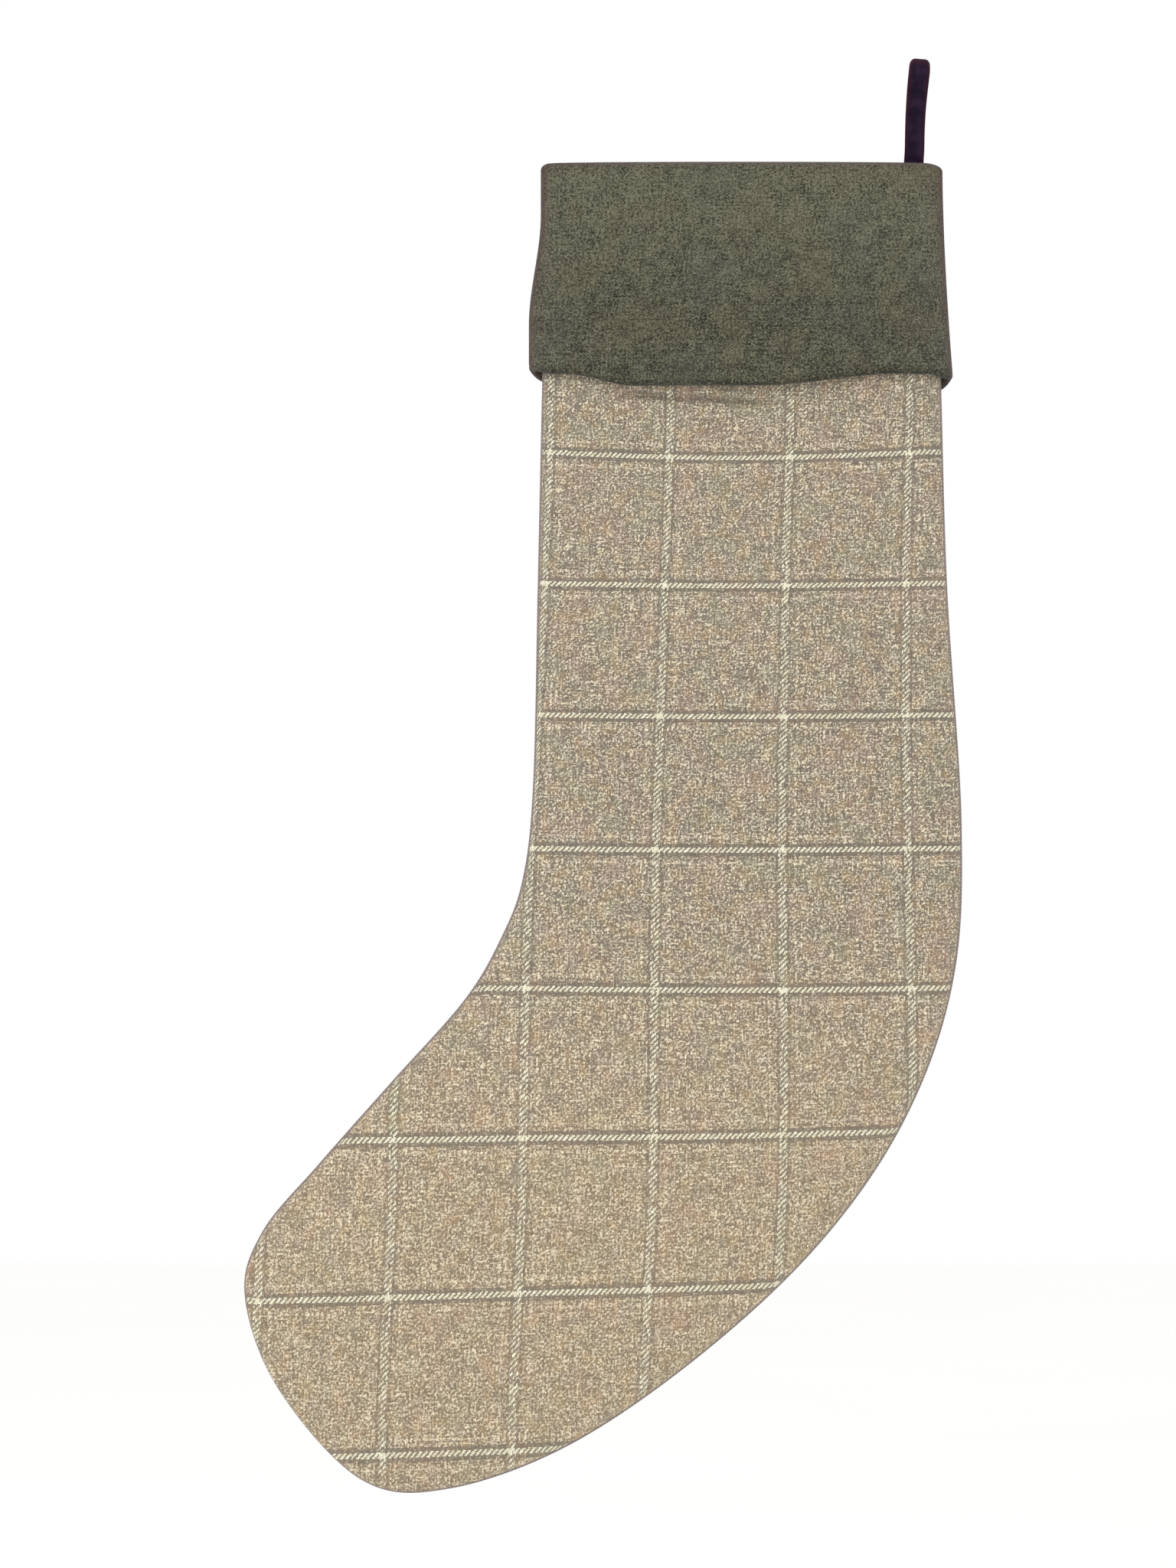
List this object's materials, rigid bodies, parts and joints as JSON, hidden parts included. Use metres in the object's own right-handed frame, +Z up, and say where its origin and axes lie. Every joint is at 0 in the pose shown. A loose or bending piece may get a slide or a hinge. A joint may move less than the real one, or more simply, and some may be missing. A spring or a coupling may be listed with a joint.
{
  "type": "hanging stocking",
  "caption": "Lined tweed stocking with a turned-down wool cuff, hung by a ribbon loop sewn at its heel corner.",
  "frame": {"origin": "centre of the loop's eye, where the hook bears", "axes": "+Z up along the leg, +X towards the heel side, the front faces -Y and the toe points to -X"},
  "size_m": [0.3123, 0.044, 0.6246],
  "materials": {
    "ribbon": "soft velvet ribbon",
    "thread": "matt sewing thread",
    "tweed": "heathered tweed with a cream windowpane check",
    "tweed_seam": "turned tweed edge",
    "interlining": "matt fleece",
    "lining": "plain cotton",
    "cuff_wool": "brushed wool twill"
  },
  "bodies": {
    "loop": {"hanging_loop": "ribbon"},
    "stocking": {"loop_tails": "ribbon", "loop_bartack": "thread", "mouth_seam": "lining", "body_front": "tweed", "body_back": "tweed", "side_seam": "tweed_seam", "interlining_front": "interlining", "interlining_back": "interlining", "lining_front": "lining", "lining_back": "lining", "lining_seam": "lining", "turning_gap_stitches": "thread"},
    "cuff_front_half": {"cuff_front": "cuff_wool", "cuff_front_facing": "lining", "cuff_front_hem": "cuff_wool", "cuff_seam_toe_side": "cuff_wool", "cuff_seam_heel_side": "cuff_wool"},
    "cuff_back_half": {"cuff_back": "cuff_wool", "cuff_back_facing": "lining", "cuff_back_hem": "cuff_wool"}
  },
  "joints": [
    {"name": "loop_bend", "type": "hinge", "parent": "loop", "child": "stocking", "pos_m": [-0.00232, 0, -0.03793], "axis": [0.9981, 0, -0.061], "range_deg": [-60, 60]},
    {"name": "cuff_front_lift", "type": "hinge", "parent": "stocking", "child": "cuff_front_half", "pos_m": [-0.0774, -0.01, -0.0392], "axis": [-1, 0, 0], "range_deg": [0, 110]},
    {"name": "cuff_back_lift", "type": "hinge", "parent": "stocking", "child": "cuff_back_half", "pos_m": [-0.0774, 0.01, -0.0392], "axis": [1, 0, 0], "range_deg": [0, 110]}
  ],
  "couplings": [
    {"joint": "cuff_back_lift", "follows": "cuff_front_lift", "ratio": 1}
  ]
}
